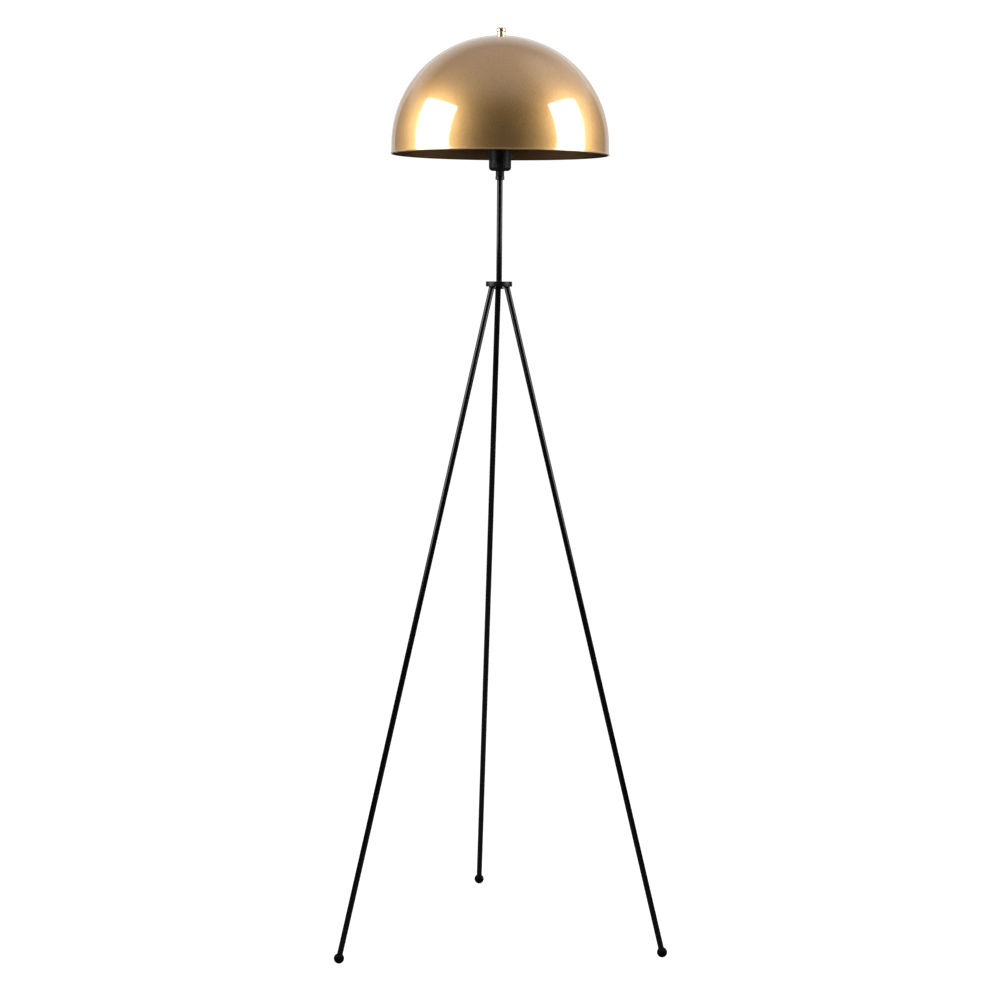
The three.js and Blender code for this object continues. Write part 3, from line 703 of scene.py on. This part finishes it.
# ---- shade and finial --------------------------------------------------------------------------
def make_shade():
    """A spun dome on a slightly flared skirt, with a hole at the crown.

    Its hem is rolled: round below, and curling back inside a little slimmer.
    """
    rim, low, crown = size_of("shade")
    skirt_low, spring = low + 2.5 * MM, low + 17.5 * MM  # the dome starts at the spring
    radius, rise, wall = rim - 1.4 * MM, crown - spring, 0.9 * MM
    flare, hem, hole = 0.5 * MM, 1.15 * MM, 3.7 * MM
    curl, curl_middle = hem * 0.9, rim - hem * 1.9

    def dome_arc(inset, start, end):
        return arc(0, spring, radius - inset, rise - inset, start, end, 72)

    def hole_angle(inset):
        return math.degrees(math.acos(hole / (radius - inset)))

    skirt = [
        (radius + flare * (1 - t) ** 1.6, skirt_low + (spring - skirt_low) * t)
        for t in spaced(0, 1, 8)
    ]
    outer = arc(rim - hem, low + hem, hem, hem, -90, 70, 14) + skirt + dome_arc(0, 0, hole_angle(0))
    inner = dome_arc(wall, hole_angle(wall), 0) + [(r - wall, z) for r, z in reversed(skirt)]
    inner += arc(curl_middle, low + hem, curl, hem, 150, 270, 8)
    mesh = turned_mesh(outer + inner, segments=192)
    piece("spun_shade", mesh, "shade", GOLD, "shade")
    # faces that look into the shade take the darker gold, which is painted shade
    mesh.materials.append(GOLD_INSIDE_PAINTED_SHADE)
    for polygon in mesh.polygons:
        outwards = polygon.center - STEM
        outwards.z = max(0, polygon.center.z - spring)
        polygon.material_index = 1 if polygon.normal.dot(outwards) < 0 else 0


def make_finial():
    """A turned brass knob over two rings, blind at the top and threaded on the harp's screw."""
    widest, low, high = size_of("finial")
    ring, groove = 7.1 * MM, 6.0 * MM
    knob = high - 7.4 * MM
    hole_top = size_of("harp_stud")[2] + 0.4 * MM
    fine, full, knob_fillet, top_fillet = 0.1 * MM, 0.25 * MM, 1.5 * MM, 0.9 * MM
    lower_ring = [(FINIAL_HOLE, low, 0), (ring, low), (ring, low + 1.7 * MM)]
    lower_groove = [(groove, low + 1.9 * MM, fine), (groove, low + 2.4 * MM, fine)]
    upper_ring = [(ring, low + 2.6 * MM), (ring, knob - 0.7 * MM)]
    upper_groove = [(groove, knob - 0.5 * MM, fine), (groove, knob, fine)]
    head = [
        (ring - 0.3 * MM, knob + 0.2 * MM),
        (widest, knob + 1.6 * MM, knob_fillet),
        (widest, knob + 4.6 * MM, knob_fillet),
        (ring - 0.2 * MM, high, top_fillet),
        (0, high - 0.1 * MM, 0),
    ]
    blind_hole = [(0, hole_top, 0), (FINIAL_HOLE, hole_top, 0)]
    outline = lower_ring + lower_groove + upper_ring + upper_groove + head + blind_hole
    mesh = turned_mesh(rounded(outline, full, 5), segments=128)
    piece("finial_knob", mesh, "finial", BRASS, "finial")


def make_finial_washer():
    radius, low, high = size_of("finial_washer")
    mesh = turned_mesh(ring_outline(FINIAL_HOLE, radius, low, high, 0.15 * MM), segments=64)
    piece("finial_nylon_washer", mesh, "finial_seat", NYLON, "finial_washer")


# ---- bulb --------------------------------------------------------------------------------------
def make_bulb_globe():
    radius, low, high = size_of("bulb_globe")
    middle, inner_radius = high - radius, radius - BULB_WALL
    edge = -math.degrees(math.asin((middle - low) / radius))
    inner_edge = -math.degrees(math.asin((middle - low) / inner_radius))
    outline = arc(0, middle, radius, radius, edge, 90, 48)
    outline += arc(0, middle, inner_radius, inner_radius, 90, inner_edge, 40)
    piece("bulb_diffuser", turned_mesh(outline), "bulb", OPAL, "bulb_globe")


def make_bulb_housing():
    """A funnel that widens from a narrow foot to the globe, faster towards its top."""
    radius, low, high = size_of("bulb_collar")
    foot = 13.4 * MM
    outer = []
    for t in spaced(0, 1, 24):
        widening = 0.55 * t + 0.45 * t**2.6
        outer.append((foot + (radius - foot) * widening, low + (high - low) * t))
    inner = [(r - BULB_WALL, z) for r, z in reversed(outer)]
    mesh = turned_mesh(outer + inner)
    piece("bulb_housing", mesh, "bulb", WHITE_PLASTIC, "bulb_collar")


def make_bulb_cap():
    """The bulb's screw cap, with its rounded thread rolled as a helix."""
    crest, low, high = size_of("bulb_cap")
    depth, pitch, thickness = 0.75 * MM, 3.63 * MM, 0.5 * MM
    thread_low, thread_high = low + 0.8 * MM, high - 1 * MM

    def threaded(r, z, angle):
        if not thread_low < z < thread_high:
            return r, z
        return r + depth * thread_wave(z, angle, pitch) * fade(z, thread_low, thread_high, pitch), z

    outer = [(crest - depth, z) for z in spaced(low, high, 60)]
    inner = [(r - thickness, z) for r, z in reversed(outer)]
    mesh = turned_mesh(outer + inner, reshape=threaded)
    piece("bulb_screw_cap", mesh, "bulb", CAP_METAL, "bulb_cap")


# ---- CAD nodes that stay -----------------------------------------------------------------------
def dress_inner_nodes():
    """The pieces hidden inside keep their CAD shape and take a real finish."""
    finishes = {
        "holder_core": CERAMIC,
        "holder_screw_shell": PLAIN_BRASS,
        "holder_centre_contact": PLAIN_BRASS,
        "terminal_screw_live": PLAIN_BRASS,
        "terminal_screw_neutral": PLAIN_BRASS,
        "bulb_contact": CAP_METAL,
        "bulb_insulator": PLASTIC,
    }
    finishes.update({f"leg_insert_{place}": ZINC for place in LEG_PLACES})
    for node, material in finishes.items():
        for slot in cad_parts[node].material_slots:
            slot.material = material


# ---- studio ------------------------------------------------------------------------------------
CAMERA_TURN = math.radians(-5.09)  # the camera's place round the stem, from straight in front
CAMERA_DISTANCE = 3.901
CAMERA_HEIGHT = 1.186
CAMERA_PAN = math.radians(0.074)
CAMERA_TILT = math.radians(-5.907)
CAMERA_ROLL = math.radians(0.501)
CAMERA_LENS, CAMERA_SENSOR = 80.06, 36  # millimetres
CAMERA_REACH = 100  # metres, to the farthest thing it sees

# What the lamp sees of the world. A START, FULL, LOW, HIGH or EDGE is how far a unit direction points
# backwards, upwards or towards the bounce. The ZENITH is the share of the backdrop's light overhead.
BACKDROP_START, BACKDROP_FULL, BACKDROP_LIGHT = 0.2, 0.8, 0.85
BACKDROP_LOW, BACKDROP_HIGH, BACKDROP_ZENITH = 0.25, 0.5, 0.55
CEILING_START, CEILING_FULL, CEILING_LIGHT = 0.5, 1.0, 0.62
BOUNCE_AZIMUTH, BOUNCE_HEIGHT, BOUNCE_EDGE, BOUNCE_LIGHT = 108, 1.15, 0.85, 0.5
FRONT_LIGHT = 0.006

# What the camera sees of the world and the floor: both turn white between WHITE_START and WHITE_FULL. The
# floor's white is a painted pool of light: it glows with a strength from FLOOR_WHITE near the lamp to
# FLOOR_GREY far out.
WHITE_START, WHITE_FULL = 0.5, 0.8
BACK_WHITE, SIDE_WHITE = 1.05, 0.75
FLOOR_WHITE, FLOOR_GREY, FLOOR_DIFFUSE = 0.99, 0.68, 0.16
FLOOR_NEAR, FLOOR_FAR, FLOOR_REACH = 2.5, 9, 90

PURE_WHITE = (1, 1, 1)
COOL = (0.91, 1.0, 1.03)

# Name, azimuth, distance, lower and upper edge, left and right edge, radiance, lean and tint, with
# lengths in metres and angles in degrees.
SOFTBOXES = (
    ("softbox_left", -73.5, 1.5, 1.15, 2.32, -0.60, 0.58, 9.6, 17, COOL),
    ("softbox_right", 72, 1.5, 1.15, 2.35, -0.64, 0.38, 9.4, 17, COOL),
    ("panel_left", -120, 2.0, 1.15, 2.6, -0.9, 0.9, 0.18, 0, PURE_WHITE),
    ("panel_right", 120, 2.0, 1.15, 2.6, -0.9, 0.9, 0.18, 0, PURE_WHITE),
    ("panel_behind", 180, 2.2, 1.2, 2.6, -1.6, 1.6, 0.7, 0, PURE_WHITE),
)


def around(azimuth, distance, height):
    """A place at an azimuth round the stem, in degrees from the camera's side towards +X."""
    angle = math.radians(azimuth) + CAMERA_TURN
    return STEM + Vector((math.sin(angle) * distance, -math.cos(angle) * distance, height))


FROM_CAMERA = around(180, 1, 0) - STEM  # the level direction from the camera to the backdrop


def make_camera():
    pan, tilt = CAMERA_PAN - CAMERA_TURN, CAMERA_TILT
    ahead = Vector((math.sin(pan) * math.cos(tilt), math.cos(pan) * math.cos(tilt), math.sin(tilt)))
    level = Vector((math.cos(pan), -math.sin(pan), 0))
    above = level.cross(ahead)
    right = math.cos(CAMERA_ROLL) * level + math.sin(CAMERA_ROLL) * above
    up = math.cos(CAMERA_ROLL) * above - math.sin(CAMERA_ROLL) * level
    data = bpy.data.cameras.new("camera")
    data.lens = CAMERA_LENS
    data.sensor_width = CAMERA_SENSOR
    data.clip_end = CAMERA_REACH
    camera = bpy.data.objects.new("camera", data)
    bpy.context.scene.collection.objects.link(camera)
    turn = Matrix((right, up, -ahead)).transposed().to_4x4()
    camera.matrix_world = Matrix.Translation(around(0, CAMERA_DISTANCE, CAMERA_HEIGHT)) @ turn
    bpy.context.scene.camera = camera


def make_softbox(name, azimuth, distance, low, high, left, right, radiance, lean, tint):
    """A softbox that faces the stem, its top leaning in. left and right are measured from its azimuth."""
    lean = math.radians(lean)
    width, height = right - left, (high - low) / math.cos(lean)
    data = bpy.data.lights.new(name, "AREA")
    data.shape = "RECTANGLE"
    data.size, data.size_y = width, height
    data.energy = radiance * math.pi * width * height  # watts, for that radiance
    data.color = tint
    light = bpy.data.objects.new(name, data)
    bpy.context.scene.collection.objects.link(light)
    centre = around(azimuth, distance, (low + high) / 2)
    facing = (around(azimuth, 0, (low + high) / 2) - centre).normalized()
    across = facing.cross(Vector((0, 0, 1))).normalized()
    centre -= across * (left + right) / 2
    facing = math.cos(lean) * facing - math.sin(lean) * Vector((0, 0, 1))
    light.visible_camera = False
    light.rotation_mode = "QUATERNION"
    light.rotation_quaternion = facing.to_track_quat("-Z", "Y")
    light.location = centre


class Surroundings(NodeTree):
    """The nodes of the world or the floor, which look one way to the lamp and another to the camera."""

    def __init__(self, owner):
        super().__init__(owner)
        self.tree.nodes.clear()

    def ramp(self, value, start, end, low, high):
        """Goes smoothly from low at start to high at end."""
        return self.map_range(value, start, end, low, high, "SMOOTHSTEP")

    def combine(self, operation, first, second):
        """first and second are each a number or another node's output."""
        made = self.node("ShaderNodeMath", operation=operation)
        for socket, value in zip(made.inputs, (first, second)):
            if isinstance(value, (int, float)):
                socket.default_value = value
            else:
                self.link(value, socket)
        return made.outputs[0]

    def along(self, vector, direction):
        """How far a vector points along a fixed direction."""
        made = self.node("ShaderNodeVectorMath", operation="DOT_PRODUCT")
        self.link(vector, made.inputs[0])
        made.inputs[1].default_value = direction
        return made.outputs["Value"]

    def background(self, strength):
        made = self.node("ShaderNodeBackground", Color=(*PURE_WHITE, 1))
        self.link(strength, made.inputs["Strength"])
        return made.outputs[0]

    def show(self, to_lamp, to_camera, output):
        """Sends one shader to everything but the camera and the other to the camera."""
        mix = self.node("ShaderNodeMixShader")
        self.link(self.node("ShaderNodeLightPath").outputs["Is Camera Ray"], mix.inputs[0])
        self.link(to_lamp, mix.inputs[1])
        self.link(to_camera, mix.inputs[2])
        self.link(mix.outputs[0], self.node(output).inputs["Surface"])


def make_world():
    """To the lamp: a dark front, a grey ceiling, a bright backdrop and a bounce on one side.

    To the camera: white behind the lamp, and pale grey to its sides and in front.
    """
    world = bpy.data.worlds.new("studio")
    bpy.context.scene.world = world
    nodes = Surroundings(world)
    direction = nodes.node("ShaderNodeTexCoord").outputs["Generated"]
    behind = nodes.along(direction, FROM_CAMERA)
    above = nodes.along(direction, Vector((0, 0, 1)))
    to_bounce = nodes.along(direction, (around(BOUNCE_AZIMUTH, 1, BOUNCE_HEIGHT) - STEM).normalized())

    low_edge = nodes.ramp(above, BACKDROP_LOW, BACKDROP_HIGH, 0, 1)
    high_edge = nodes.ramp(above, BACKDROP_HIGH, 1, 1, BACKDROP_ZENITH)
    backdrop = nodes.ramp(behind, BACKDROP_START, BACKDROP_FULL, 0, BACKDROP_LIGHT)
    backdrop = nodes.combine("MULTIPLY", backdrop, nodes.combine("MULTIPLY", low_edge, high_edge))
    ceiling = nodes.ramp(above, CEILING_START, CEILING_FULL, 0, CEILING_LIGHT)
    bounce = nodes.ramp(to_bounce, BOUNCE_EDGE, 1, 0, BOUNCE_LIGHT)
    light = nodes.combine("ADD", nodes.combine("MAXIMUM", backdrop, ceiling), bounce)
    light = nodes.combine("ADD", light, FRONT_LIGHT)
    white = nodes.ramp(behind, WHITE_START, WHITE_FULL, SIDE_WHITE, BACK_WHITE)
    nodes.show(nodes.background(light), nodes.background(white), "ShaderNodeOutputWorld")


def make_floor():
    """A wide pale floor. The lamp is lit by it only a little.

    The camera sees a painted pool of light on it: it glows white near the lamp and behind it, and pale grey
    far out on its other sides.
    """
    mesh = bpy.data.meshes.new("floor")
    corners = [(-1, -1), (1, -1), (1, 1), (-1, 1)]
    mesh.from_pydata([(x * FLOOR_REACH, y * FLOOR_REACH, 0) for x, y in corners], [], [(0, 1, 2, 3)])
    floor = bpy.data.objects.new("floor", mesh)
    bpy.context.scene.collection.objects.link(floor)
    material = bpy.data.materials.new("floor")
    mesh.materials.append(material)

    nodes = Surroundings(material)
    place = nodes.node("ShaderNodeTexCoord").outputs["Object"]
    length = nodes.node("ShaderNodeVectorMath", operation="LENGTH")
    nodes.link(place, length.inputs[0])
    direction = nodes.node("ShaderNodeVectorMath", operation="NORMALIZE")
    nodes.link(place, direction.inputs[0])
    far = nodes.ramp(length.outputs["Value"], FLOOR_NEAR, FLOOR_FAR, 0, 1)
    behind = nodes.along(direction.outputs["Vector"], FROM_CAMERA)
    grey = nodes.combine("MULTIPLY", far, nodes.ramp(behind, WHITE_START, WHITE_FULL, 1, 0))
    diffuse = nodes.node("ShaderNodeBsdfDiffuse", Color=(FLOOR_DIFFUSE, FLOOR_DIFFUSE, FLOOR_DIFFUSE, 1))
    # painted pool of light: an emission seen only by the camera, white near the lamp and grey far out
    painted_pool_of_light = nodes.node("ShaderNodeEmission")
    nodes.link(nodes.ramp(grey, 0, 1, FLOOR_WHITE, FLOOR_GREY), painted_pool_of_light.inputs["Strength"])
    both = nodes.node("ShaderNodeAddShader")
    nodes.link(diffuse.outputs[0], both.inputs[0])
    nodes.link(painted_pool_of_light.outputs[0], both.inputs[1])
    nodes.show(diffuse.outputs[0], both.outputs[0], "ShaderNodeOutputMaterial")


make_camera()
make_hub_plate()
make_hub_washer()
make_hub_nut()
for place in LEG_PLACES:
    make_leg(place)
    make_foot(place)
make_stem()
make_collar()
make_cord_bush()
make_grub_screw()
make_holder_cap()
make_holder_barrel()
make_shade_ring()
make_harp_base()
make_harp_arm(-1, "harp_arm_left", "harp_wire_left")
make_harp_arm(1, "harp_arm_right", "harp_wire_right")
make_harp_stud()
make_shade()
make_finial()
make_finial_washer()
make_bulb_globe()
make_bulb_housing()
make_bulb_cap()
dress_inner_nodes()
make_world()
make_floor()
for softbox in SOFTBOXES:
    make_softbox(*softbox)
bpy.context.scene.view_settings.view_transform = "Standard"
